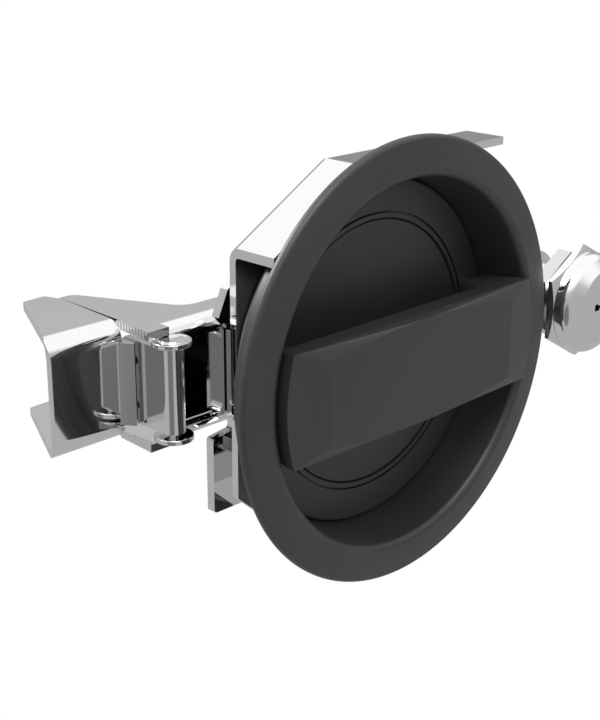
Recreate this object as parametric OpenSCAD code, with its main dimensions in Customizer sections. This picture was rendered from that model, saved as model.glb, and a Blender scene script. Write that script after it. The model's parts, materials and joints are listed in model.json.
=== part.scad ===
// Flush cam latch for a door or hatch. Millimetres, +X to the lock side, +Y into the door, +Z up.
// The origin is on the spindle axis, in the plane where the rim seats on the door skin.

/* [Cup] */
// Radius of the turning floor of the cup
rotor_r = 51.5; // [47:0.5:58]
// Thickness of the turning floor
rotor_t = 3; // [2.8:0.1:4]
// Depth of the turning floor behind the door skin
floor_depth = 11.7; // [9:0.1:14]
// How much wider the mouth is than the cup at its floor
wall_taper = 1.9; // [1:0.1:3]
// Rounding of the edge of the mouth
mouth_round = 2.4; // [0.5:0.1:3]
// Distance from the cup's inner wall at the floor to its outer wall at the door skin
body_wall = 5.5; // [5:0.1:7]
// Width of the rim outside the cup's outer wall
rim_w = 7.5; // [7:0.1:12]
// Thickness of the rim at its outer edge
rim_t = 3.5; // [2.5:0.1:5]
// How far the edge of the mouth stands in front of the rim's outer edge
rim_crown = 1.5; // [0.5:0.1:3]
// Thickness of the cup's own floor behind the turning one
cup_floor_t = 2.4; // [2.3:0.1:4]

/* [Handle] */
// Half the height of the grip bar
bar_half = 16.1; // [12:0.1:18]
// How much further the bar's ends reach at the front than at the floor
bar_flare = 1.5; // [1:0.1:1.8]
// How far the bar's bevels start in front of the rim's outer edge
bar_proud = 3.4; // [1:0.1:6]
// Height of the bevels round the bar's front face
bevel_h = 2.4; // [1:0.1:4]
// Width of the bevels at the two ends of the bar
bevel_w = 13.9; // [6:0.1:16]
// Half the height of the front face in the middle
face_mid = 15.4; // [14:0.1:15.8]
// Half the height of the front face at its ends
face_end = 12.3; // [10:0.1:13.5]
// Thickness of the bar, without the bevels
bar_t = 6.9; // [5:0.1:9]
// Length of the bar's two legs along the bar
leg_len = 10.5; // [10:0.1:12]
// How much lower the legs are at the floor, top and bottom
leg_draft = 2; // [0.5:0.1:3]
// Width of the floor outside its fine groove
groove_in = 10; // [9:0.1:12]
// Thickness of the cover plate in the middle of the floor
cover_t = 1; // [0.6:0.1:1.2]

/* [Bracket] */
// Thickness of the door skin that the rim and the bracket clamp
skin_t = 3; // [1:0.1:5]
// Thickness of the bracket's sheet
sheet_t = 2.3; // [2:0.1:3]
// Outer radius of the sheet's bends at the bracket
bend_r = 3.4; // [3:0.1:4]
// Left edge of the bracket, from the spindle
plate_left = 48; // [46:0.5:52]
// Right edge of the bracket, from the spindle
plate_right = 47; // [46:0.5:52]
// Gap between the cup's inner wall and the top flange's outer face
flange_gap = 6.4; // [6:0.1:9]
// Depth of the bracket below the spindle
plate_low = 48; // [46:0.5:52]
// How far the slanted flange falls from the top flange
slant_drop = 19.2; // [16:0.1:21]
// Distance of the top flange's left end from the spindle
slant_in = 14.5; // [8:0.5:20]

/* [Spindle and stops] */
// Square of the spindle in the turning floor, across its flats
front_square = 14; // [13:0.1:15]
// Radius of the spindle's bearing
journal_r = 6.95; // [6.9:0.05:7.1]
// Square of the spindle in the stop hub and the arm, across its flats
square = 9.6; // [9:0.1:9.7]
// Radius of the spindle's screw thread
thread_r = 4; // [3:0.5:4.5]
// Radius of the stop hub
hub_r = 18; // [17:0.5:19]
// Clear space between the bracket and the rear plate
cage_gap = 7.8; // [7.6:0.1:9]
// Thickness of the rear plate
rear_t = 2.9; // [2.4:0.1:3.5]

/* [Arm and tongue] */
// Half the height of the arm, over its flanges
arm_half = 17.2; // [16:0.1:19]
// Outer radius of the bends of the arm and the tongue
arm_bend = 4.6; // [3:0.1:5]
// Distance of the toothed joint from the spindle, at the front of the arm
seam_x = 67.6; // [65:0.1:75]
// How far the toothed joint leans towards the spindle for each millimetre of depth
seam_lean = 0.06; // [0:0.01:0.12]
// Depth of the arm's flanges at the toothed joint
arm_deep = 42.4; // [38:0.1:46]
// Depth of the arm's flanges at the spindle
arm_shallow = 11.3; // [10:0.1:14]
// Pitch of the teeth
tooth_pitch = 1.2; // [1:0.1:2]
// Depth of the teeth
tooth_deep = 0.6; // [0.3:0.1:0.8]
// How far the tongue is set back behind the front of the arm
tongue_back = 11.5; // [11:0.1:14]
// Depth of the tongue's flanges
tongue_deep = 35.3; // [32:0.1:40]
// Distance of the tongue's left edge from the spindle
tongue_left = 92.7; // [90:0.5:98]
// Distance of the tongue's far left corner from the spindle
tongue_tip = 74.9; // [72:0.1:80]
// Distance of the upright pin from the spindle
pin_x = 61; // [60.5:0.1:61.2]
// Radius of the upright pin
pin_r = 1.5; // [1.2:0.1:1.7]

/* [Lock] */
// Distance of the key cylinder from the edge of the rim
lock_gap = 22.5; // [21.5:0.5:26]
// Hexagon of the lock housing, across its flats
hex_flats = 33; // [31:0.5:34]
// Thickness of the hexagon
hex_t = 2.6; // [2:0.1:4]
// Radius of the lock's round face
face_r = 11; // [10.5:0.1:11.5]
// How far the lock's face stands in front of the door skin
face_proud = 10.2; // [8:0.1:12]
// Radius of the threaded barrel
barrel_r = 10; // [9.5:0.1:10.5]
// Radius of the key plug
plug_r = 5.8; // [5.5:0.1:6]
// Radius at which the lock cam's pin drives the slide
crank_r = 5; // [4.5:0.1:5]
// Half the width of the slide
slide_half = 5; // [4:0.1:5.2]
// Thickness of the slide
slide_t = 2.5; // [2:0.1:2.8]

/* [Hidden] */

$fn = 96;
fit = 0.03;                                    // radial clearance of a pin or shaft in its hole
slack = 0.3;                                   // clearance of parts that move past each other
over = 1;                                      // how far a cut runs past the surface it opens

// Radii and lengths that follow from the turning floor
wall_gap = 0.5;                                // between the turning floor and the cup's wall
floor_r = rotor_r + wall_gap;
mouth_r = floor_r + wall_taper;
body_r = floor_r + body_wall;
rim_r = body_r + rim_w;
bar_end_r = rotor_r + bar_flare;
face_half = bar_end_r - bevel_w;
leg_in = rotor_r - leg_len;
groove_r = rotor_r - groove_in;
cover_r = groove_r - 2.3;
plate_top = floor_r + flange_gap;
slant_low = plate_top - slant_drop;
lock_x = rim_r + lock_gap;

// Depths along Y, from the door skin's outer face
rim_edge_y = -rim_t;
mouth_y = rim_edge_y - rim_crown;
bevel_y = rim_edge_y - bar_proud;
bar_front_y = bevel_y - bevel_h;
bar_back_y = bevel_y + bar_t;
rotor_back_y = floor_depth + rotor_t;
cup_floor_y = rotor_back_y + slack;
cup_back_y = cup_floor_y + cup_floor_t;
plate_y = cup_back_y + 0.1;
plate_back_y = plate_y + sheet_t;
rear_y = plate_back_y + cage_gap;
rear_back_y = rear_y + rear_t;
arm_y = rear_back_y + 0.5;
arm_back_y = arm_y + sheet_t;
strap_back_y = arm_back_y + sheet_t;

// Stack on the spindle
bush_flange_t = 0.6;
washer_t = 0.6;
bush_y = plate_back_y + bush_flange_t;
hub_y = bush_y + washer_t;
hub_back_y = rear_y - 0.5;
end_washer_t = 1.8;
end_nut_t = 6.5;
end_nut_flats = 13;
flange_t = 1.8;                                // head of the spindle, in the turning floor
flange_r = 12;
recess_y = floor_depth + cover_t + 0.4;        // the cover lies 0.4 below the floor's face
head_back_y = recess_y + flange_t;
boss_r = 15;
boss_back_y = cup_back_y - 0.1;
bush_r = 9.4;
rear_bush_r = 8;
rear_low = 41;
rear_top = 40;
rear_right = 44;
rear_waist = 40;

// Fasteners
screw_r = 2;
csk_r = 4.1;
csk_h = 2.1;
handle_screw_at = [rotor_r - 7, 7];
cup_screw_at = [31, 26];
rotor_bevel = 2;                               // at the back of the turning floor's edge
bevel_in = rotor_r - rotor_bevel + 0.2;        // inner radius of the same bevel on the cup's floor
body_bevel = 8.9;                              // at the back of the cup's outer wall
cup_nut_flats = 7;
cup_nut_t = 3.2;
post_at = [20, 33];
post_r = 4;

// Arm, strap and tongue
arm_end_y = arm_y + arm_deep;
strap_half = 12.1;
roll_t = 1.8;                                  // thickness of the strap where it is rolled
window_x = 36.5;
arm_end_x = 13;
arm_deepens = 44.6;                            // where the flanges start to deepen towards the joint
window_half = 12.3;
lug_top = pin_x + over;                        // the flanges have no bend outside these distances
lug_low = 58;
roll_r = pin_r + roll_t;
tooth_layer = 1.4;                             // the teeth are cut in the outer part of the sheet
tongue_y = arm_y + tongue_back;
tongue_web_back = tongue_y + sheet_t;
tab_half = 12;
tab_t = sheet_t;
tab_y = tongue_y - 4;
tab_round = 3;                                 // inner radius of the bend between the web and its end wall
lip_left = pin_x + roll_r;
lip_right = lip_left - sheet_t;
clamp_screw_z = 6.5;
clamp_screw_r = 1.5;
clamp_deep = 4.8;                              // depth of the shim
clamp_slot = 1.5;                              // the strap's slots let the tongue move this far each way
clamp_y = tongue_web_back - clamp_deep / 2;
strap_end_y = tongue_web_back + 0.6;

// Lock
hex_y = -hex_t;
nut_flats = 27;
lock_nut_t = 5;
barrel_back_y = plate_back_y + 2.2;
cam_y = barrel_back_y + 0.2;
cam_t = 1.8;
slide_y = hub_back_y - slide_t;
crank_pin_r = 1.75;
slide_travel = 2 * crank_r * sin(45);
crank_rest = [crank_r * sin(45), -crank_r * sin(45)];
notch_floor = hub_r - slide_travel - 0.1;
tip_x = hub_r + 0.6;                           // end of the slide when the handle is free
strip_half = 13;

// Points of the corner at b, rounded with radius r
function corner(a, b, c, r) = r == 0 ? [b] :
    let (u = (a - b) / norm(a - b), v = (c - b) / norm(c - b), half = acos(u * v) / 2,
        m = b + (u + v) / norm(u + v) * r / sin(half),
        s = b + u * r / tan(half) - m, e = b + v * r / tan(half) - m,
        from = atan2(s.y, s.x), turn = (atan2(e.y, e.x) - from + 540) % 360 - 180, n = 10)
    [for (i = [0 : n]) m + r * [cos(from + turn * i / n), sin(from + turn * i / n)]];

// Outline through points [x, y, rounding]
function rounded(p) = let (n = len(p)) [for (i = [0 : n - 1])
    each corner([p[(i + n - 1) % n].x, p[(i + n - 1) % n].y], [p[i].x, p[i].y],
        [p[(i + 1) % n].x, p[(i + 1) % n].y], p[i].z)];

// A shape in X and Z, from y0 to y1
module plate(y0, y1) { translate([0, y1, 0]) rotate([90, 0, 0]) linear_extrude(y1 - y0) children(); }

// A shape in Y and Z, from x0 to x1
module beam(x0, x1) { translate([x0, 0, 0]) rotate([90, 0, 90]) linear_extrude(x1 - x0) children(); }

// A shape in X and Y, from z0 to z1
module slab(z0, z1) { translate([0, 0, z0]) linear_extrude(z1 - z0) children(); }

// A profile of radius and depth, turned round the spindle axis
module turned() { rotate([-90, 0, 0]) rotate_extrude() children(); }

// A round rod along Y
module rod(at, r, y0, y1) { translate([at.x, y1, at.y]) rotate([90, 0, 0]) cylinder(r = r, h = y1 - y0); }

// A cone along Y
module cone(at, r0, r1, y0, y1) { translate([at.x, y1, at.y]) rotate([90, 0, 0]) cylinder(r1 = r1, r2 = r0, h = y1 - y0); }

// A hexagon along Y with two corners up and down
module hex_rod(at, flats, y0, y1) {
    translate([at.x, y1, at.y]) rotate([90, 0, 0]) rotate(30) cylinder(d = flats / cos(30), h = y1 - y0, $fn = 6);
}

module all_four(at) { for (sx = [-1, 1], sz = [-1, 1]) translate([sx * at.x, 0, sz * at.y]) children(); }

// The moulded cup with its rim
module flush_cup() {
    color("#3a3a3a") difference() {
        turned() polygon(rounded([
            [boss_r + 0.08, cup_floor_y, 0], [bevel_in, cup_floor_y, 0],
            [floor_r, cup_floor_y + bevel_in - floor_r, 0], [mouth_r, mouth_y, mouth_round],
            [rim_r, rim_edge_y, 1.6], [rim_r, 0, 0.4], [body_r, 0, 0], [body_r, cup_back_y - body_bevel, 2],
            [body_r - body_bevel, cup_back_y, 2],
            [boss_r + 0.08, cup_back_y, 0]]));
        turned() translate([gasket_in, -gasket_t]) square([gasket_w, gasket_t + over]);
        all_four(cup_screw_at) {
            rod([0, 0], screw_r + fit, cup_floor_y - over, cup_back_y + over);
            cone([0, 0], csk_r + fit, screw_r, cup_floor_y, cup_floor_y + csk_h);
        }
        plate(0, cup_back_y + over) flange_room();
    }
}

// What the bracket's flanges need of the cup's round body
module flange_room() {
    translate([-slant_in, plate_top - sheet_t - slack]) square(2 * plate_left);
    translate([-slant_in, plate_top]) rotate(slant_angle) translate([-2 * plate_left, -sheet_t - slack])
        square([2.2 * plate_left, plate_left]);
}

gasket_in = body_r + 1.5;
gasket_w = 3.4;
gasket_t = 1.2;

// The seal in the back of the rim
module rim_gasket() {
    color("#1c1c1c") turned() translate([gasket_in + fit, -gasket_t + fit])
        square([gasket_w - 2 * fit, gasket_t - fit]);
}

// The turning floor of the cup
module rotor_disc() {
    color("#3c3d3e") difference() {
        union() {
            turned() polygon(rounded([[0, floor_depth, 0], [rotor_r, floor_depth, 0.8],
                [rotor_r, rotor_back_y - rotor_bevel, 0.2], [rotor_r - rotor_bevel, rotor_back_y, 0],
                [0, rotor_back_y, 0]]));
            rod([0, 0], boss_r, floor_depth + over, boss_back_y);
        }
        rod([0, 0], cover_r + 0.1, floor_depth - over, recess_y);
        turned() translate([groove_r - 0.2, floor_depth - over]) square([0.4, over + 0.5]);
        rod([0, 0], flange_r + fit, floor_depth, head_back_y);
        plate(head_back_y - over, boss_back_y + over) square(front_square + 2 * fit, center = true);
        all_four(handle_screw_at) {
            rod([0, 0], screw_r + fit, floor_depth - over, rotor_back_y + over);
            cone([0, 0], screw_r, csk_r + fit, rotor_back_y - csk_h, rotor_back_y + 0.001);
        }
    }
}

// The thin plate that hides the spindle's head
module centre_cover() {
    color("#3b3c3d") rod([0, 0], cover_r, recess_y - cover_t, recess_y);
}

// Outline of the bar's front face
module bar_face() {
    arch = face_mid - face_end;
    arch_r = (face_half * face_half + arch * arch) / (2 * arch);
    intersection() {
        square([2 * face_half, 2 * face_mid], center = true);
        translate([0, face_mid - arch_r]) circle(arch_r, $fn = 360);
        translate([0, arch_r - face_mid]) circle(arch_r, $fn = 360);
    }
}

// Outline of the bar behind its bevels
module bar_outline() {
    intersection() {
        square([2 * bar_end_r, 2 * bar_half], center = true);
        circle(bar_end_r);
    }
}

// The bar and its two legs, without the bevels
module bar_body() {
    intersection() {
        beam(-rim_r, rim_r) polygon([[bevel_y, bar_half], [floor_depth, bar_half - leg_draft],
            [floor_depth, leg_draft - bar_half], [bevel_y, -bar_half]]);
        cone([0, 0], bar_end_r, rotor_r, bevel_y, floor_depth);
        union() {
            plate(bevel_y, bar_back_y) square(2 * rim_r, center = true);
            for (s = [0, 180]) rotate([0, s, 0]) plate(bar_back_y - over, floor_depth)
                polygon(rounded([[leg_in, -leg_half, 5], [rim_r, -leg_half, 0], [rim_r, leg_half, 0],
                    [leg_in, leg_half, 5]]));
        }
    }
}

leg_half = bar_half - leg_draft / 2;

// The grip bar across the mouth of the cup
module handle_bar() {
    color("#434445") difference() {
        union() {
            bar_body();
            hull() {
                plate(bar_front_y, bar_front_y + 0.01) bar_face($fn = 64);
                plate(bevel_y - 0.01, bevel_y) bar_outline($fn = 64);
            }
        }
        all_four(handle_screw_at) rod([0, 0], screw_r + fit, floor_depth - handle_screw_in, floor_depth + over);
    }
}

handle_screw_in = 9;

// A screw with a countersunk head, from its flat end at y0 to its tip at y1
module csk_screw(y0, y1) {
    if (y1 > y0) {
        cone([0, 0], csk_r, screw_r, y0, y0 + csk_h);
        rod([0, 0], screw_r, y0, y1);
    } else {
        cone([0, 0], screw_r, csk_r, y0 - csk_h, y0);
        rod([0, 0], screw_r, y1, y0);
    }
}

// Four screws that hold the bar to the turning floor
module handle_screws() {
    color("silver") all_four(handle_screw_at) csk_screw(rotor_back_y, floor_depth - handle_screw_in + 0.5);
}

// What lies inside a bent edge: below its flange and in front of its plate
module inside_bend(front, back, inset, r) {
    beam(-3 * plate_top, 3 * plate_top) polygon(rounded([[front, -inset, 0], [back, -inset, r],
        [back, -3 * plate_top, 0], [front, -3 * plate_top, 0]]));
}

// The same under both flanges at once
module inside_bends(front, back, inset, r) {
    intersection() {
        translate([0, 0, plate_top]) inside_bend(front, back, inset, r);
        translate([-slant_in, 0, plate_top]) rotate([0, -slant_angle, 0]) inside_bend(front, back, inset, r);
    }
}

slant = [plate_left - slant_in, plate_top - slant_low];
slant_angle = atan2(slant.y, slant.x);

// The bracket behind the door skin, with its top and slanted flanges
module mounting_bracket() {
    color("#c8ccd0") difference() {
        union() {
            difference() {
                intersection() {
                    plate(skin_t, plate_back_y) polygon([[-plate_left, -plate_low + 15], [-31, -plate_low],
                        [31, -plate_low], [plate_right, -plate_low + 14], [plate_right, plate_top + over],
                        [-plate_left, plate_top + over]]);
                    inside_bends(0, plate_back_y, 0, bend_r);
                }
                inside_bends(0, plate_y, sheet_t, bend_r - sheet_t);
            }
            plate(plate_y, plate_back_y) {
                translate([plate_right - over, -strip_half]) square([lock_x - plate_right + over, 2 * strip_half]);
                translate([lock_x, 0]) circle(strip_half);
            }
        }
        rod([0, 0], bush_r + fit, plate_y - over, plate_back_y + over);
        all_four(cup_screw_at) rod([0, 0], screw_r + fit, plate_y - over, plate_back_y + over);
        all_four(post_at) rod([0, 0], spigot_r + fit, plate_y - over, plate_back_y + over);
        for (a = stop_angles) rod(stop_r * [cos(a), sin(a)], stop_pin_r + fit, plate_y - over, plate_back_y + over);
        rod([lock_x, 0], barrel_r + fit, plate_y - over, plate_back_y + over);
    }
}

spigot_r = 2.5;

// Four screws through the cup's floor and the bracket
module cup_screws() {
    color("silver") all_four(cup_screw_at) csk_screw(cup_floor_y, plate_back_y + cup_nut_t + 1);
}

// The nuts of those screws
module cup_nuts() {
    color("silver") all_four(cup_screw_at) difference() {
        hex_rod([0, 0], cup_nut_flats, plate_back_y, plate_back_y + cup_nut_t);
        rod([0, 0], screw_r + fit, plate_back_y - over, plate_back_y + cup_nut_t + over);
    }
}

thread_y = strap_back_y - 0.2;
end_nut_y = strap_back_y + end_washer_t;

// The spindle, with a head, two squares and a threaded end
module spindle() {
    color("#a9adb0") union() {
        rod([0, 0], flange_r, recess_y, head_back_y);
        plate(head_back_y - 0.1, boss_back_y) square(front_square, center = true);
        rod([0, 0], journal_r, boss_back_y - 0.1, hub_y);
        plate(hub_y - 0.1, thread_y) square(square, center = true);
        rod([0, 0], thread_r, thread_y - 0.1, end_nut_y + end_nut_t + 2);
    }
}

// The flanged bush in the bracket
module spindle_bush() {
    color("#b5985a") difference() {
        union() {
            rod([0, 0], bush_r, plate_y, plate_back_y);
            rod([0, 0], bush_r + 2.6, plate_back_y, bush_y);
        }
        rod([0, 0], journal_r + fit, plate_y - over, bush_y + over);
    }
}

// The washer that gives the handle its drag
module friction_washer() {
    color("#8d8f86") difference() {
        rod([0, 0], bush_r + 3.6, bush_y, hub_y);
        rod([0, 0], journal_r + fit, bush_y - over, hub_y + over);
    }
}

stop_r = hub_r + 3.5;
stop_pin_r = 2.5;
stop_tooth = -48;                              // where the hub's tooth points at rest
stop_half = 12;                                // half the tooth, in degrees
stop_gap = stop_half + asin(stop_pin_r / stop_r) + 0.9;
stop_angles = [stop_tooth + stop_gap, stop_tooth - 90 - stop_gap];

// The hub with its stop tooth and the two notches for the slide
module stop_hub() {
    color("#9fa3a6") plate(hub_y, hub_back_y) difference() {
        union() {
            circle(hub_r);
            polygon(concat([[0, 0]], [for (a = [-stop_half : 4 : stop_half])
                (stop_r + stop_pin_r) * [cos(stop_tooth + a), sin(stop_tooth + a)]]));
        }
        square(square + 2 * fit, center = true);
        for (a = [0, 90]) rotate(a) translate([notch_floor, -slide_half - slack])
            square([hub_r, 2 * (slide_half + slack)]);
    }
}

// The two pins that end the handle's turn
module stop_pins() {
    color("silver") for (a = stop_angles) rod(stop_r * [cos(a), sin(a)], stop_pin_r, plate_y, rear_back_y);
}

// The square sleeve that turns in the rear plate
module rear_bush() {
    color("#b5985a") difference() {
        rod([0, 0], rear_bush_r, hub_back_y, arm_y);
        plate(hub_back_y - over, arm_y + over) square(square + 2 * fit, center = true);
    }
}

// The plate behind the bracket
module rear_plate() {
    color("#c8ccd0") difference() {
        plate(rear_y, rear_back_y) polygon(rounded([[-plate_left, -rear_low, 1],
            [-plate_left, -arm_half - 1, 1], [-rear_waist, -arm_half, 1], [-rear_waist, 12, 1],
            [-rear_waist - 5.2, 17, 0], [-rear_waist - 1.8, 24.4, 0], [-rear_waist + 4, 28.5, 2],
            [-rear_waist + 7, 34, 2], [-24, rear_top, 3], [30, rear_top, 3], [rear_right, 26, 3],
            [rear_right, -26, 3], [30, -rear_low, 3]]));
        rod([0, 0], rear_bush_r + fit, rear_y - over, rear_back_y + over);
        for (a = stop_angles) rod(stop_r * [cos(a), sin(a)], stop_pin_r + fit, rear_y - over, rear_back_y + over);
        all_four(post_at) {
            rod([0, 0], screw_r + fit, rear_y - over, rear_back_y + over);
            cone([0, 0], screw_r, csk_r + fit, rear_back_y - csk_h, rear_back_y + 0.001);
        }
    }
}

// The four posts between the bracket and the rear plate
module spacer_posts() {
    color("silver") all_four(post_at) difference() {
        union() {
            rod([0, 0], post_r, plate_back_y, rear_y);
            rod([0, 0], spigot_r, plate_y, plate_back_y + 0.1);
        }
        rod([0, 0], screw_r + fit, rear_y - post_screw_in - 0.5, rear_y + over);
    }
}

post_screw_in = 5;

// The screws of the rear plate
module plate_screws() {
    color("silver") all_four(post_at) csk_screw(rear_back_y, rear_y - post_screw_in);
}

// X of the toothed joint at depth y, as a distance to the left
function seam_at(y) = -seam_x + seam_lean * (y - arm_y);

// Zigzag of teeth along the joint from y0 to y1, moved by shift
function teeth(y0, y1, shift) = let (n = floor((y1 - y0) / tooth_pitch))
    [for (i = [0 : n - 1], top = [0, 1]) let (y = y0 + (i + top / 2) * tooth_pitch)
        [seam_at(y) + top * tooth_deep + shift, y]];

// Section of a channel: web in front, flanges running back
module channel(front, deep) {
    difference() {
        union() {
            translate([front + arm_bend, -arm_half]) square([deep, 2 * arm_half]);
            translate([front, arm_bend - arm_half]) square([deep, 2 * (arm_half - arm_bend)]);
            for (s = [-1, 1]) translate([front + arm_bend, s * (arm_half - arm_bend)]) circle(arm_bend);
        }
        translate([front + arm_bend, sheet_t - arm_half]) square([deep + over, 2 * (arm_half - sheet_t)]);
        translate([front + sheet_t, arm_bend - arm_half]) square([deep + over, 2 * (arm_half - arm_bend)]);
        for (s = [-1, 1]) translate([front + arm_bend, s * (arm_half - arm_bend)]) circle(arm_bend - sheet_t);
    }
}

// Side of the arm seen from above, with its curved back edge
module arm_plan(toothed) {
    difference() {
        polygon(rounded([[arm_end_x, arm_y, 0], [arm_end_x, arm_y + arm_shallow, 0], [-arm_deepens, arm_y + arm_shallow, 7],
            [7 - seam_x, arm_end_y, 3.2], [seam_at(arm_end_y), arm_end_y - 0.3, 0.5], [seam_at(arm_y), arm_y, 0]]));
        if (toothed) for (i = [0 : floor((arm_deep - 4) / tooth_pitch) - 1])
            translate([seam_at(arm_y + (i + 0.5) * tooth_pitch), arm_y + (i + 0.5) * tooth_pitch])
                polygon([[-tooth_deep, 0.1 - tooth_pitch], [tooth_deep, 0], [-tooth_deep, tooth_pitch - 0.1]]);
    }
}

// A flange of a toothed part, from z0 to z1: teeth in the outer layer, a plain edge inside
module toothed_flange(side) {
    mirror([0, 0, side]) {
        slab(arm_half - sheet_t, arm_half - tooth_layer) children(0);
        slab(arm_half - tooth_layer, arm_half) children(1);
    }
}

// The flat end of one of the arm's flanges, outside the distance lug
module arm_lug(side, lug) {
    intersection() {
        toothed_flange(side) { arm_plan(false); arm_plan(true); }
        translate([-seam_x - over, arm_y, -arm_half]) cube([seam_x - lug + over, arm_deep, 2 * arm_half]);
    }
}

// The channel that reaches from the spindle to the edge of the door
module cam_arm() {
    color("#d2d6da") difference() {
        union() {
            intersection() {
                difference() {
                    beam(-lug_top, arm_end_x) channel(arm_y, arm_deep);
                    translate([-lug_top - over, arm_y - over, -arm_half - over])
                        cube([lug_top - lug_low + over, arm_deep + 2 * over, arm_half]);
                }
                slab(-arm_half, arm_half) arm_plan(false);
            }
            arm_lug(0, lug_top);
            arm_lug(1, lug_low);
        }
        plate(arm_y - over, arm_back_y + arm_bend) polygon(rounded([[-window_x, -window_half, 3],
            [-window_x, window_half, 3], [-seam_x - over, window_half, 0], [-seam_x - over, -window_half, 0]]));
        slab(0, arm_half + over) translate([-pin_x, pin_y]) circle(roll_r + 0.4);
        plate(arm_y - over, arm_back_y + over) square(square + 2 * fit, center = true);
    }
}

pin_y = arm_y - 2;                             // the pin's axis lies in front of the arm

// The inner strap, rolled round the upright pin, with a lip for the clamp screws
module pin_strap() {
    color("#c4c8cc") difference() {
        union() {
            plate(arm_back_y, strap_back_y) {
                translate([-pin_x, -strap_half]) square([pin_x, 2 * strap_half]);
                circle(strap_half);
            }
            slab(-strap_half, strap_half) translate([-pin_x, pin_y]) circle(roll_r);
            slab(-strap_half, strap_half) translate([-lip_left, pin_y]) square([sheet_t, strap_end_y - pin_y]);
        }
        slab(-strap_half - over, strap_half + over) translate([-pin_x, pin_y]) circle(pin_r + fit);
        plate(arm_back_y - over, strap_back_y + over) square(square + 2 * fit, center = true);
        for (s = [-1, 1]) beam(-lip_left - over, -lip_right + over) translate([clamp_y, s * clamp_screw_z]) {
            square([2 * clamp_slot, 2 * (clamp_screw_r + fit)], center = true);
            for (e = [-1, 1]) translate([e * clamp_slot, 0]) circle(clamp_screw_r + fit);
        }
    }
}

pin_head_r = 3.3;
pin_head_h = 3.3;
pin_head_z = strap_half + 0.8;

// The upright pin with its domed head
module upright_pin() {
    dome = pin_head_h - 1;
    dome_r = (pin_head_r * pin_head_r + dome * dome) / (2 * dome);
    color("#dfe3e6") translate([-pin_x, pin_y, 0]) {
        translate([0, 0, -strap_half - 1]) cylinder(r = pin_r, h = pin_head_z + strap_half + 1);
        translate([0, 0, strap_half]) cylinder(r = pin_head_r - 0.5, h = pin_head_z - strap_half + 0.1);
        translate([0, 0, pin_head_z]) rotate_extrude() intersection() {
            translate([0, pin_head_h - dome_r]) circle(dome_r);
            square([pin_head_r, pin_head_h - 0.02]);
        }
    }
}

// The tongue seen from above
module tongue_plan(toothed) {
    far_y = tongue_y + tongue_deep;
    gap = 0.08;
    polygon(rounded([[-tongue_left, tongue_y, 2.5], [-tongue_tip, far_y - 0.6, 1],
        [-seam_x + 0.4, far_y, 1], [seam_at(far_y - 6) - gap, far_y - 6, 2], [seam_at(tongue_y) - gap, tongue_y, 0]]));
    if (toothed) for (i = [ceil(tongue_back / tooth_pitch) + 1 : floor((arm_deep - 6) / tooth_pitch) - 1])
        translate([seam_at(arm_y + (i + 0.5) * tooth_pitch) - gap, arm_y + (i + 0.5) * tooth_pitch])
            polygon([[-tooth_deep, 0.1 - tooth_pitch], [tooth_deep - 0.1, 0], [-tooth_deep, tooth_pitch - 0.1]]);
}

// The flanges of the tongue, from the plane at the front to the full depth
module tongue_flange(side) {
    toothed_flange(side) { tongue_plan(false); tongue_plan(true); }
}

web_left = 88.8;                               // the web's left edge, above the middle
web_low = 82.4;                                // the web's left edge, at the bottom

// The toothed tongue that reaches behind the door frame
module tongue() {
    color("#d2d6da") difference() {
        union() {
            intersection() {
                difference() {
                    beam(-tongue_left, -seam_x + tooth_deep + over * 6) channel(tongue_y, tongue_deep);
                    translate([-tongue_left - over, tongue_y - over, -arm_half - over])
                        cube([tongue_left - web_low + over, tongue_deep + 2 * over, arm_half - window_half + over]);
                }
                union() {
                    slab(sheet_t - arm_half, arm_half - sheet_t) tongue_plan(false);
                    for (side = [0, 1]) tongue_flange(side);
                }
            }
            intersection() {
                tongue_flange(1);
                translate([-tongue_left - over, tongue_y, -arm_half])
                    cube([tongue_left - web_low + over, tongue_deep + over, arm_half]);
            }
            slab(-tab_half, tab_half) {
                translate([-seam_x, tab_y]) square([tab_t, tongue_web_back - tab_y]);
                difference() {
                    translate([-seam_x - tab_round, tongue_y - tab_round]) square([tab_round + over, tab_round + over]);
                    translate([-seam_x - tab_round, tongue_y - tab_round]) circle(tab_round);
                }
            }
        }
        plate(tongue_y - over, tongue_y + 3.2) polygon(rounded([[-tongue_left - 9, window_half, 0],
            [-web_left, window_half, 2], [-web_left, -1, 16], [-web_low, -window_half - over, 0],
            [-tongue_left - 9, -window_half - over, 0]]));
        for (s = [-1, 1]) translate([-seam_x + 0.6, clamp_y, s * clamp_screw_z]) rotate([0, 90, 0])
            cylinder(r = clamp_screw_r + fit, h = tab_t + over);
    }
}

// The shim between the tongue's end wall and the strap
module clamp_bar() {
    color("#b9bdc0") difference() {
        slab(-tab_half, tab_half) translate([-seam_x + tab_t, tongue_web_back - clamp_deep])
            square([seam_x - tab_t - lip_left, clamp_deep]);
        for (s = [-1, 1]) translate([-seam_x, clamp_y, s * clamp_screw_z]) rotate([0, 90, 0])
            cylinder(r = clamp_screw_r + fit, h = 3 * sheet_t);
    }
}

clamp_head_r = 2.8;
clamp_head_t = 1.8;

// The two screws that pull the tongue's end wall against the strap
module clamp_screws() {
    color("silver") for (s = [-1, 1]) translate([0, clamp_y, s * clamp_screw_z]) {
        translate([-seam_x + 0.7, 0, 0]) rotate([0, 90, 0]) cylinder(r = clamp_screw_r, h = seam_x - 0.6 - lip_right);
        translate([-lip_right, 0, 0]) rotate([0, 90, 0]) cylinder(r = clamp_head_r, h = clamp_head_t);
    }
}

// The washer under the end nut
module spindle_washer() {
    color("silver") difference() {
        rod([0, 0], 10, strap_back_y, end_nut_y);
        rod([0, 0], thread_r + fit, strap_back_y - over, end_nut_y + over);
    }
}

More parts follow.
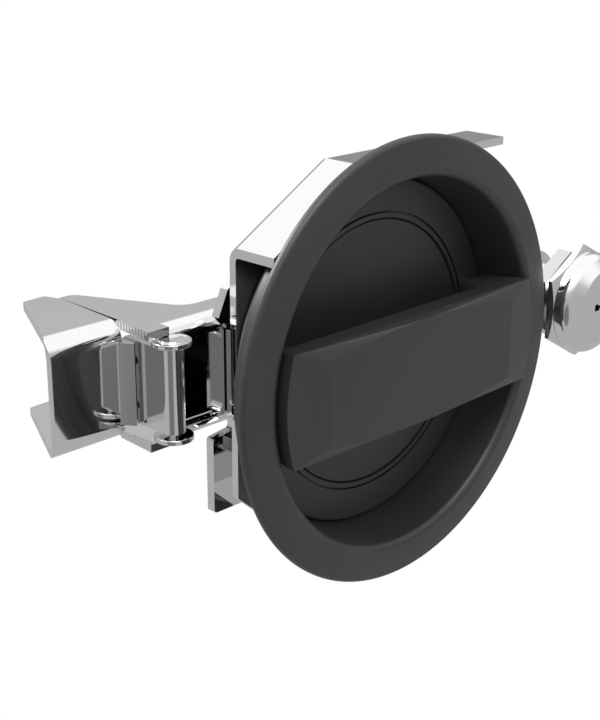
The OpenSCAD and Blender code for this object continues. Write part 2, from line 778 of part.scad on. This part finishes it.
// The nut that holds the arm on the spindle
module spindle_nut() {
    color("silver") difference() {
        hex_rod([0, 0], end_nut_flats, end_nut_y, end_nut_y + end_nut_t);
        rod([0, 0], thread_r + fit, end_nut_y - over, end_nut_y + end_nut_t + over);
    }
}

lock_at = [lock_x, 0];

// The lock's housing: round face, hexagon and threaded barrel
module lock_housing() {
    color("#d8dcdf") difference() {
        union() {
            rod(lock_at, face_r, -face_proud, hex_y + 0.1);
            intersection() {
                hex_rod(lock_at, hex_flats, hex_y, 0);
                cone(lock_at, hex_flats / 2, hex_flats / 2 + 6, hex_y, hex_y + 3);
            }
            rod(lock_at, barrel_r, -0.1, barrel_back_y);
        }
        rod(lock_at, plug_r + fit, -face_proud - over, barrel_back_y + over);
        translate([lock_x, 0, 0]) turned() translate([seal_in, -seal_t]) square([seal_w, seal_t + over]);
    }
}

seal_in = 12.4;
seal_w = 2.4;
seal_t = 0.8;

// The bright ring round the lock's face
module lock_collar() {
    color("#e4e7ea") translate([lock_x, 0, 0]) turned() polygon(rounded([[face_r + fit, hex_y, 0],
        [face_r + fit, -face_proud - 0.3, 0.2], [face_r + 0.9, -face_proud - 0.3, 0.4],
        [hex_flats / 2, -face_proud + 3.4, 4], [hex_flats / 2, hex_y, 0.3]]));
}

// The seal behind the hexagon
module lock_gasket() {
    color("#1c1c1c") translate([lock_x, 0, 0]) turned() translate([seal_in + fit, fit - seal_t])
        square([seal_w - 2 * fit, seal_t - fit]);
}

// The nut behind the door skin
module lock_nut() {
    color("#c8ccd0") difference() {
        hex_rod(lock_at, nut_flats, skin_t, skin_t + lock_nut_t);
        rod(lock_at, barrel_r + fit, skin_t - over, skin_t + lock_nut_t + over);
    }
}

// The plug that the key turns
module key_plug() {
    color("#cfd3d6") difference() {
        union() {
            rod(lock_at, plug_r, -face_proud, barrel_back_y);
            plate(barrel_back_y - 0.1, cam_y + cam_t) translate(lock_at) square(5, center = true);
        }
        plate(-face_proud - over, -face_proud + 9) translate(lock_at)
            polygon([[-4.2, -1.1], [-1.6, -1.1], [-1.6, -0.4], [1.4, -0.4], [1.4, -1.1], [4.2, -1.1], [4.2, 1.1],
                [0.4, 1.1], [0.4, 0.5], [-2.4, 0.5], [-2.4, 1.1], [-4.2, 1.1]]);
        rod(lock_at, 1.5 + fit, cam_y + cam_t - 6, cam_y + cam_t + over);
    }
}

// The cam on the plug's square, with the pin that drives the slide
module lock_cam() {
    color("#b9bdc0") difference() {
        union() {
            rod(lock_at, crank_r + 3, cam_y, cam_y + cam_t);
            rod(lock_at + crank_rest, crank_pin_r, cam_y + cam_t - 0.1, slide_y + slide_t);
        }
        plate(cam_y - over, cam_y + cam_t + over) translate(lock_at) square(5 + 2 * fit, center = true);
    }
}

// The small screw that holds the cam
module cam_screw() {
    color("silver") union() {
        rod(lock_at, 3.4, cam_y + cam_t, cam_y + cam_t + 0.25);
        rod(lock_at, 1.5, cam_y + cam_t - 5, cam_y + cam_t + 0.1);
    }
}

// The slide that the key moves into the hub
module lock_slide() {
    slot_x = lock_x + crank_rest.x;
    color("#c4c8cc") plate(slide_y, slide_y + slide_t) difference() {
        union() {
            translate([tip_x, -slide_half]) square([slot_x - tip_x, 2 * slide_half]);
            polygon(rounded([[slot_x - 12, slide_half, 0], [slot_x - 12, -crank_r - 5, 2],
                [slot_x + 5.5, -crank_r - 5, 2], [slot_x + 5.5, slide_half, 2]]));
        }
        translate([slot_x - crank_pin_r - 0.25, -crank_r - crank_pin_r - slack])
            square([2 * crank_pin_r + 0.5, crank_r + crank_pin_r + slack + crank_rest.y + crank_pin_r + slack]);
    }
}

// The blocks that the slide runs in: each has a left edge, a back face and the back of its slot
guides = [[34, rear_y, rear_y + over], [lock_x - 23.7, rear_y + 1.6, hub_back_y + 0.1]];
guide_half = 10;
guide_len = 7;

// The two blocks that the slide runs in
module slide_guides() {
    color("#b9bdc0") for (g = guides) difference() {
        beam(g[0], g[0] + guide_len) translate([plate_back_y, -guide_half])
            square([g[1] - plate_back_y, 2 * guide_half]);
        beam(g[0] - over, g[0] + guide_len + over) translate([slide_y - 0.1, -slide_half - 0.1])
            square([g[2] - slide_y + 0.1, 2 * slide_half + 0.2]);
    }
}

flush_cup();
rim_gasket();
rotor_disc();
centre_cover();
handle_bar();
handle_screws();
mounting_bracket();
cup_screws();
cup_nuts();
spindle();
spindle_bush();
friction_washer();
stop_hub();
stop_pins();
rear_bush();
rear_plate();
spacer_posts();
plate_screws();
cam_arm();
pin_strap();
upright_pin();
tongue();
clamp_bar();
clamp_screws();
spindle_washer();
spindle_nut();
lock_housing();
lock_collar();
lock_gasket();
lock_nut();
key_plug();
lock_cam();
cam_screw();
lock_slide();
slide_guides();
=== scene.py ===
import bmesh
import bpy
import json
import math
from mathutils import Matrix, Vector


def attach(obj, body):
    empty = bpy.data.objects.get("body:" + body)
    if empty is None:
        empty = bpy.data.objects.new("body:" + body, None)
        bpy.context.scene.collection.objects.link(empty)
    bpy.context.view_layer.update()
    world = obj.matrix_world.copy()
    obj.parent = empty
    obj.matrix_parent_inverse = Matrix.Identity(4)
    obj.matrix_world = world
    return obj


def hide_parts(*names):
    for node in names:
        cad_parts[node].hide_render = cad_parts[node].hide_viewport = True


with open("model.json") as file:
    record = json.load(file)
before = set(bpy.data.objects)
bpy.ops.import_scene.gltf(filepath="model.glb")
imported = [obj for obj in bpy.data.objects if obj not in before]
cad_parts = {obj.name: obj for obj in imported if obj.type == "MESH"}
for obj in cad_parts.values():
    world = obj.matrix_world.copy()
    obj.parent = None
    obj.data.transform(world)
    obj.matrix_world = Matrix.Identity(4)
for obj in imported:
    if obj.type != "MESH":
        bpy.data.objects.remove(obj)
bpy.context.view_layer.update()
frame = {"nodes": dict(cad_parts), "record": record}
parts = frame["nodes"]
print("latch loaded,", len(parts), "parts")


class Wire:  # a shader socket that can stand in a formula
    def __init__(self, tree, socket=None):
        self.tree = tree
        self.socket = socket

    def add(self, kind, settings=None, sockets=None, out=0):  # any node: its settings first, then its sockets
        made = self.tree.nodes.new(kind)
        for name, value in (settings or {}).items():
            if name == "stops":
                ramp = made.color_ramp
                while len(ramp.elements) < len(value):
                    ramp.elements.new(0.5)
                for stop, (place, tone) in zip(ramp.elements, value):
                    stop.position = place
                    stop.color = (tone, tone, tone, 1) if isinstance(tone, (int, float)) else (*tone, 1)
            else:
                setattr(made, name, value)
        for name, value in (sockets or {}).items():
            self.feed(made.inputs[name], value)
        return Wire(self.tree, made.outputs[out] if len(made.outputs) else None)

    def feed(self, entry, value):
        if isinstance(value, Wire):
            self.tree.links.new(value.socket, entry)
        else:
            entry.default_value = value

    def calc(self, operation, left, right=0.0, clamp=False):
        return self.add("ShaderNodeMath", {"operation": operation, "use_clamp": clamp}, {0: left, 1: right})

    def __add__(self, other):
        return self.calc("ADD", self, other)

    def __radd__(self, other):
        return self.calc("ADD", other, self)

    def __sub__(self, other):
        return self.calc("SUBTRACT", self, other)

    def __rsub__(self, other):
        return self.calc("SUBTRACT", other, self)

    def __mul__(self, other):
        return self.calc("MULTIPLY", self, other)

    def __rmul__(self, other):
        return self.calc("MULTIPLY", other, self)

    def __truediv__(self, other):
        return self.calc("DIVIDE", self, other)

    def __rtruediv__(self, other):
        return self.calc("DIVIDE", other, self)

    def __pow__(self, other):
        return self.calc("POWER", self, other)

    def __neg__(self):
        return self.calc("MULTIPLY", self, -1.0)

    def step(self, low, high):  # 0 below low, 1 above high, smooth between
        return self.add("ShaderNodeMapRange", {"interpolation_type": "SMOOTHSTEP"},
                        {"Value": self, "From Min": low, "From Max": high})

    def tint(self, dark, light):  # a colour between two, by this value
        return self.add("ShaderNodeMix", {"data_type": "RGBA"}, {0: self, 6: (*dark, 1), 7: (*light, 1)}, out=2)


def newFinish(name, fixed):
    material = bpy.data.materials.new(name)
    material.use_nodes = True
    tree = material.node_tree
    tree.nodes.clear()
    root = Wire(tree)
    surface = root.add("ShaderNodeBsdfPrincipled", None, fixed)
    root.add("ShaderNodeOutputMaterial", None, {"Surface": surface})
    return material, root, surface.socket.node.inputs


# moulded black plastic of the cup, its floor and the bar
plasticLook = {"dark": (0.0275, 0.028, 0.0283), "light": (0.033, 0.0335, 0.0338), "rough": 0.42, "grain": 0.05}


def makePlastic():
    material, root, entry = newFinish("cupPlastic", {"Metallic": 0.0, "IOR": 1.55})
    place = root.add("ShaderNodeTexCoord", out=3)
    cloud = root.add("ShaderNodeTexNoise", None, {"Vector": place, "Scale": 22.0, "Detail": 4.0})
    fine = root.add("ShaderNodeTexNoise", None, {"Vector": place, "Scale": 2600.0, "Detail": 2.0})
    root.feed(entry["Base Color"], cloud.step(0.35, 0.65).tint(plasticLook["dark"], plasticLook["light"]))
    root.feed(entry["Roughness"], plasticLook["rough"] + (cloud - 0.5) * 0.06 + (fine - 0.5) * 0.05)
    root.feed(entry["Normal"], root.add("ShaderNodeBump", None, {
        "Strength": plasticLook["grain"], "Distance": 0.0001, "Height": fine}))
    return material


# bright plating on the bent sheet
plateLook = {"colour": (0.83, 0.83, 0.83), "rough": 0.05}


def makePlate(name, colour, rough, wave=0.03):
    material, root, entry = newFinish(name, {"Metallic": 1.0, "Base Color": (*colour, 1)})
    place = root.add("ShaderNodeTexCoord", out=3)
    cloud = root.add("ShaderNodeTexNoise", None, {"Vector": place, "Scale": 60.0, "Detail": 3.0})
    root.feed(entry["Roughness"], rough + (cloud - 0.5) * 0.04)
    root.feed(entry["Normal"], root.add("ShaderNodeBump", None, {
        "Strength": wave, "Distance": 0.0004, "Height": cloud}))
    return material


def makeRubber():
    material, root, entry = newFinish("sealRubber", {"Metallic": 0.0})
    place = root.add("ShaderNodeTexCoord", out=3)
    fine = root.add("ShaderNodeTexNoise", None, {"Vector": place, "Scale": 900.0})
    root.feed(entry["Base Color"], fine.tint((0.015, 0.015, 0.015), (0.03, 0.03, 0.03)))
    root.feed(entry["Roughness"], 0.7 + fine * 0.15)
    return material


finishes = {
    "cup_plastic": makePlastic(),
    "seal_rubber": makeRubber(),
    "bright_plate": makePlate("brightPlate", plateLook["colour"], plateLook["rough"]),
    "lock_chrome": makePlate("lockChrome", (0.84, 0.84, 0.85), 0.05, 0.01),
    "screw_steel": makePlate("screwSteel", (0.66, 0.67, 0.68), 0.22),
    "plain_steel": makePlate("plainSteel", (0.52, 0.53, 0.54), 0.30),
    "bush_brass": makePlate("bushBrass", (0.62, 0.46, 0.2), 0.28),
    "drag_plastic": makePlate("dragPlastic", (0.45, 0.45, 0.42), 0.45),
}
slotOf = {entry["node"]: entry["material_slot"] for entry in frame["record"]["subparts"]}
for name, part in parts.items():
    part.data.materials.clear()
    part.data.materials.append(finishes[slotOf[name]])
print("finishes on")


def rounded(points, steps=6):  # an outline through points (a, b, rounding), all in millimetres
    ring = []
    for i, (a, b, radius) in enumerate(points):
        here = Vector((a, b))
        if not radius:
            ring.append((here.x, here.y))
            continue
        before = (Vector(points[i - 1][:2]) - here).normalized()
        after = (Vector(points[(i + 1) % len(points)][:2]) - here).normalized()
        half = math.acos(max(-1, min(1, before.dot(after)))) / 2
        centre = here + (before + after).normalized() * radius / math.sin(half)
        start = here + before * radius / math.tan(half) - centre
        end = here + after * radius / math.tan(half) - centre
        turn = start.angle_signed(end)
        for k in range(steps + 1):
            spin = -turn * k / steps
            corner = centre + Vector((start.x * math.cos(spin) - start.y * math.sin(spin),
                                      start.x * math.sin(spin) + start.y * math.cos(spin)))
            ring.append((corner.x, corner.y))
    return ring


def newPiece(name, verts, faces):
    mesh = bpy.data.meshes.new(name)
    mesh.from_pydata([tuple(v) for v in verts], [], faces)
    tidy = bmesh.new()
    tidy.from_mesh(mesh)
    bmesh.ops.remove_doubles(tidy, verts=tidy.verts, dist=1e-5)
    if tidy.calc_volume(signed=True) < 0:
        bmesh.ops.reverse_faces(tidy, faces=tidy.faces)
    tidy.to_mesh(mesh)
    tidy.free()
    piece = bpy.data.objects.new(name, mesh)
    bpy.context.scene.collection.objects.link(piece)
    return piece


def prism(outline, axis, low, high, name="tool"):  # a solid with this outline, from low to high along an axis
    order = {"X": lambda a, b, c: (c, a, b), "Y": lambda a, b, c: (a, c, b), "Z": lambda a, b, c: (a, b, c)}[axis]
    count = len(outline)
    verts = [order(a, b, level) for level in (low, high) for a, b in outline]
    sides = [(i, (i + 1) % count, count + (i + 1) % count, count + i) for i in range(count)]
    return newPiece(name, verts, sides + [tuple(range(count))[::-1], tuple(range(count, 2 * count))])


def block(x0, x1, y0, y1, z0, z1):
    return prism([(x0, y0), (x1, y0), (x1, y1), (x0, y1)], "Z", z0, z1)


def disc(x, y, radius, low, high, around=48):  # a round rod along Z
    turns = [math.tau * k / around for k in range(around)]
    return prism([(x + radius * math.cos(t), y + radius * math.sin(t)) for t in turns], "Z", low, high)


def revolve(name, profile, around=192):  # radius and depth, turned round the spindle
    count = len(profile)
    verts = [(r * math.cos(math.tau * k / around), y, r * math.sin(math.tau * k / around))
             for k in range(around) for r, y in profile]
    faces = [(k * count + i, k * count + (i + 1) % count, (k + 1) % around * count + (i + 1) % count,
              (k + 1) % around * count + i) for k in range(around) for i in range(count)]
    return newPiece(name, verts, faces)


def settle(piece):  # what the modifiers make becomes the mesh
    made = bpy.data.meshes.new_from_object(piece.evaluated_get(bpy.context.evaluated_depsgraph_get()))
    piece.modifiers.clear()
    piece.data = made
    return piece


def carve(piece, how, *tools):
    for tool in tools:
        modifier = piece.modifiers.new("carve", "BOOLEAN")
        modifier.operation = how
        modifier.solver = "EXACT"
        modifier.object = tool
        settle(piece)
        bpy.data.objects.remove(tool)
    return piece


def soften(piece, width, segments=3):  # small round edges that catch the light
    modifier = piece.modifiers.new("soften", "BEVEL")
    modifier.width = width
    modifier.segments = segments
    modifier.limit_method = "ANGLE"
    modifier.angle_limit = math.radians(35)
    modifier.use_clamp_overlap = True
    return settle(piece)


def finishPiece(piece, name, body, slot, *nodes, smooth=48):  # shaped in millimetres, kept in metres
    piece.data.transform(Matrix.Scale(0.001, 4))
    piece.data.materials.clear()
    piece.data.materials.append(finishes[slot])
    piece.data.shade_smooth()
    piece.data.set_sharp_from_angle(angle=math.radians(smooth))
    even = piece.modifiers.new("even", "WEIGHTED_NORMAL")  # keeps the flat faces flat beside their round edges
    even.keep_sharp = True
    even.weight = 100
    settle(piece)
    piece.name = name
    piece.data.name = name
    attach(piece, body)
    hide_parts(*nodes)
    return piece


# sheet channels of the arm and the tongue, in millimetres; x runs along the arm, y goes back from the door
sheetLook = {"half": 17.2, "sheet": 2.3, "edge": 0.2}
seamLook = {"place": -67.6, "from": 31.0, "lean": 0.06, "tooth": 1.3, "bite": 0.9, "flat": 0.4, "low": 0.6}
armLook = {"front": 31.0, "back": 73.4, "shallow": 42.3, "end": 13.0, "bend": 4.6,
           "deepens": (-44.6, 7), "heel": (-60.6, 3.2), "teethFrom": 31.6, "teethTo": 46.5,
           "window": -41.1, "windowHalf": 12.3, "windowRound": 3, "webEnd": -59.5, "cornerEnd": -60}
tongueLook = {"front": 42.5, "back": 77.8, "left": -90.4, "bend": 6.0, "gap": 0.02,
              "leftEnd": (2.0, 2.5), "tip": (-74.9, 0.6), "heel": -67.2, "notch": (71.8, 1.5),
              "tab": [(-68.6, 42.5), (-66.1, 38.6), (-65.35, 39.1), (-65.35, 44.8), (-68.6, 44.8)], "tabHalf": 12.0}
pinLook = {"place": (-61.0, 29.0), "rod": 1.5, "collar": 5.5, "boss": 3.7, "under": 12.95, "top": 14.3,
           "bossDown": 0.2, "bossUp": 0.35, "edge": 0.3}


def channel(front, back, x0, x1, bend, name):  # a U of sheet, open to the back
    half, sheet = sheetLook["half"], sheetLook["sheet"]
    outline = rounded([(back, -half, 0), (front, -half, bend), (front, half, bend), (back, half, 0),
                       (back, half - sheet, 0), (front + sheet, half - sheet, bend - sheet),
                       (front + sheet, sheet - half, bend - sheet), (back, sheet - half, 0)])
    return prism(outline, "X", x0, x1, name)


def seamAt(y):  # where arm and tongue meet
    return seamLook["place"] + seamLook["lean"] * (y - seamLook["from"])


def seamTeeth(y0, y1):  # flat lands with a notch after each
    step = seamLook["tooth"]
    points = []
    for i in range(int((y1 - y0) / step)):
        y = y0 + i * step
        x = seamAt(y)
        points += [(x, y), (x, y + step * seamLook["flat"]), (x + seamLook["bite"], y + step * seamLook["low"])]
    return points


def makeArm():
    half, sheet = sheetLook["half"], sheetLook["sheet"]
    look = armLook
    front, back, shallow, inner = look["front"], look["back"], look["shallow"], look["windowHalf"]
    (deepX, deepRound), (heelX, heelRound) = look["deepens"], look["heel"]
    plan = rounded([(look["end"], front - 1, 0), (look["end"], shallow, 0), (deepX, shallow, deepRound),
                    (heelX, back, heelRound), (seamAt(back), back, 0)])
    plan += seamTeeth(look["teethFrom"], look["teethTo"])[::-1]
    plan.append((seamAt(front), front - 1))
    arm = channel(front, back + 5, -70, look["end"], look["bend"], "arm")
    window = rounded([(look["window"], -inner, look["windowRound"]), (look["window"], inner, look["windowRound"]),
                      (-75, inner, 0), (-75, -inner, 0)])
    carve(arm, "DIFFERENCE", prism(window, "Y", front - 1, front + 7))
    carve(arm, "DIFFERENCE", block(-76, look["webEnd"], front - 2, front + 5.5, sheet - half, half - sheet))
    carve(arm, "UNION", block(-70, look["cornerEnd"], front, front + 5, half - sheet, half),
          block(-70, look["cornerEnd"], front, front + 5, -half, sheet - half))
    carve(arm, "INTERSECT", prism(plan, "Z", -half - 1, half + 1))
    soften(arm, sheetLook["edge"] / 2, 2)
    return finishPiece(arm, "armSheet", "handle", "bright_plate", "cam_arm")


def makeTongue():
    half = sheetLook["half"]
    look = tongueLook
    front, back, left, gap = look["front"], look["back"], look["left"], look["gap"]
    (leftDeep, leftRound), (tipX, tipShort), (notchY, notchRound) = look["leftEnd"], look["tip"], look["notch"]
    plan = rounded([(seamAt(front) - gap, front - 1, 0), (left, front - 1, 0), (left, front + leftDeep, leftRound),
                    (tipX, back - tipShort, 1), (look["heel"], back, 1), (seamAt(notchY) - gap, notchY, notchRound)])
    tongue = channel(front, back + 5, left - 3, -63, look["bend"], "tongue")
    carve(tongue, "INTERSECT", prism(plan, "Z", -half - 1, half + 1))
    carve(tongue, "UNION", prism(look["tab"], "Z", -look["tabHalf"], look["tabHalf"]))
    soften(tongue, sheetLook["edge"])
    return finishPiece(tongue, "tongueSheet", "handle", "bright_plate", "tongue")


def makePin():  # a collar at each end of the roll
    look = pinLook
    x, y = look["place"]
    top = look["top"]
    pin = disc(x, y, look["rod"], -top, top)
    carve(pin, "UNION", disc(x, y, look["collar"], look["under"], top),
          disc(x, y, look["boss"], top - look["bossDown"], top + look["bossUp"]),
          disc(x, y, look["collar"], -top, -look["under"]))
    soften(pin, look["edge"])
    return finishPiece(pin, "pinHead", "handle", "bright_plate", "upright_pin")


# the cup, with the lip of its rim drawn as it is seen; radius, depth and rounding of each corner
cupLook = {
    "inside": [(15.08, 15.0, 0), (49.7, 15.0, 0), (52.0, 12.7, 0), (53.9, -5.0, 2.4)],
    "rim": [(60.8, -4.1, 3), (65.3, -3.3, 1.7), (65.3, -1.0, 0.4), (63.2, -1.0, 0), (63.2, 0, 0.2)],
    "sealGroove": [(62.4, 0, 0), (62.4, -1.2, 0), (59.0, -1.2, 0), (59.0, 0, 0)],
    "outside": [(57.5, 0, 0), (57.5, 8.5, 2), (48.6, 17.4, 2), (15.08, 17.4, 0)],
    "flatTop": 55.8, "slopeFrom": -14.5, "slope": 19.2 / 33.5,  # cut off under the bracket's two flanges
}


def makeCup():
    look = cupLook
    cup = revolve("cup", rounded(look["inside"] + look["rim"] + look["sealGroove"] + look["outside"], 8))
    top, turn = look["flatTop"], look["slopeFrom"]
    above = [(100, top), (turn, top), (-100, top - (100 + turn) * look["slope"]), (-100, 90), (100, 90)]
    carve(cup, "DIFFERENCE", prism(above, "Y", 0.02, 19))
    return finishPiece(cup, "cup", "frame", "cup_plastic", "flush_cup")


# the turning floor, with the two ring lines as wide as they are seen
ringLook = {"lines": [(41.15, 41.85), (39.22, 39.85)], "deep": 1.0}


def makeRings():
    mesh = parts["rotor_disc"].data.copy()
    mesh.transform(Matrix.Scale(1000, 4) @ parts["rotor_disc"].matrix_world)
    disk = bpy.data.objects.new("disk", mesh)
    bpy.context.scene.collection.objects.link(disk)
    face = min(v.co.y for v in mesh.vertices)
    low, high = face - 1, face + ringLook["deep"]
    for inside, outside in ringLook["lines"]:
        carve(disk, "DIFFERENCE", revolve("tool", [(inside, low), (outside, low), (outside, high), (inside, high)]))
    return finishPiece(disk, "ringedFloor", "handle", "cup_plastic", "rotor_disc", smooth=3)


makeCup()
makeRings()
makeArm()
makeTongue()
makePin()
print("cup, floor, arm, tongue and pin made")


# floor, surroundings and lamps
stageLook = {"floorDown": 0.30, "floorSize": 6.0}
half = stageLook["floorSize"] / 2
floorMesh = bpy.data.meshes.new("floor")
floorMesh.from_pydata([(-half, -half, 0), (half, -half, 0), (half, half, 0), (-half, half, 0)], [], [(0, 1, 2, 3)])
floor = bpy.data.objects.new("floor", floorMesh)
bpy.context.scene.collection.objects.link(floor)
floor.location = (0, 0, -stageLook["floorDown"])


def makeFloor():
    material = bpy.data.materials.new("floorPaint")
    material.use_nodes = True
    tree = material.node_tree
    tree.nodes.clear()
    root = Wire(tree)
    seen = root.add("ShaderNodeLightPath", out=0)
    plain = root.add("ShaderNodeBsdfDiffuse", None, {"Color": (0.8, 0.8, 0.8, 1)})
    white = root.add("ShaderNodeEmission", None, {"Color": (1, 1, 1, 1), "Strength": 1.0})
    both = root.add("ShaderNodeMixShader", None, {0: seen, 1: plain, 2: white})
    root.add("ShaderNodeOutputMaterial", None, {"Surface": both})
    return material


floor.data.materials.append(makeFloor())
floor.visible_glossy = False


# levels that the metal mirrors: below and around, higher up, overhead, less a band and a patch behind the camera
reflectLook = {"low": 0.47, "mid": 0.08, "high": 0.60, "band": 0.16, "behind": 0.28}
plainLevel = 0.62


def makeSurroundings():  # white to the camera, plain light on the object, a studio in the reflections
    world = bpy.data.worlds.new("studio")
    bpy.context.scene.world = world
    world.use_nodes = True
    tree = world.node_tree
    tree.nodes.clear()
    root = Wire(tree)
    way = root.add("ShaderNodeTexCoord", out=0)

    def towards(direction):
        return root.add("ShaderNodeVectorMath", {"operation": "DOT_PRODUCT"},
                        {0: way, 1: Vector(direction).normalized()}, out=1)

    height = root.add("ShaderNodeSeparateXYZ", None, {0: way}, out=2)
    band = height.step(-0.02, 0.08) * (1 - height.step(0.21, 0.28)) * towards((0.6, 0.8, 0.0)).step(0.2, 0.8)
    behind = towards((-0.75, -0.5, -0.35)).step(0.90, 0.955)
    tone = (reflectLook["low"] + height.step(0.18, 0.34) * reflectLook["mid"]
            + height.step(0.38, 0.62) * reflectLook["high"]
            - band * reflectLook["band"] - behind * reflectLook["behind"])
    seen = root.add("ShaderNodeLightPath", out=0)
    glossy = root.add("ShaderNodeLightPath", out=3)
    level = seen + (1 - seen) * (glossy * tone + (1 - glossy) * plainLevel)
    glow = root.add("ShaderNodeBackground", None, {"Color": (1, 1, 1, 1), "Strength": level})
    root.add("ShaderNodeOutputWorld", None, {"Surface": glow})


makeSurroundings()


def addLamp(name, place, target, size, power):
    data = bpy.data.lights.new(name, "AREA")
    data.shape = "RECTANGLE"
    data.size, data.size_y = size
    data.energy = power
    lamp = bpy.data.objects.new(name, data)
    bpy.context.scene.collection.objects.link(lamp)
    lamp.location = place
    aim = Vector(target) - Vector(place)
    lamp.rotation_euler = aim.to_track_quat("-Z", "Y").to_euler()
    return lamp


addLamp("topLamp", (-0.25, -0.35, 0.9), (0, 0, 0), (0.7, 0.5), 4.5)
addLamp("edgeLamp", (-0.46, 0.72, 0.70), (0, 0, 0.03), (0.5, 0.4), 11.0)
print("stage set")


# camera where the photograph was taken from
cameraLook = {"place": (-0.28262, -0.2384, 0.13138), "azimuth": 45.33, "elevation": -19.55, "roll": 0.23,
              "lens": 68.37}
azimuth, elevation, roll = (math.radians(cameraLook[k]) for k in ("azimuth", "elevation", "roll"))
ahead = Vector((math.sin(azimuth) * math.cos(elevation), math.cos(azimuth) * math.cos(elevation),
                math.sin(elevation)))
right = Vector((math.cos(azimuth), -math.sin(azimuth), 0))
up = right.cross(ahead)
right, up = right * math.cos(roll) + up * math.sin(roll), up * math.cos(roll) - right * math.sin(roll)
camera = bpy.data.objects.new("camera", bpy.data.cameras.new("camera"))
bpy.context.scene.collection.objects.link(camera)
camera.matrix_world = Matrix.Translation(cameraLook["place"]) @ Matrix((right, up, -ahead)).transposed().to_4x4()
camera.data.sensor_fit = "VERTICAL"
camera.data.sensor_height = 36.0
camera.data.lens = cameraLook["lens"]
camera.data.clip_start = 0.01
bpy.context.scene.camera = camera
bpy.context.scene.view_settings.view_transform = "Standard"
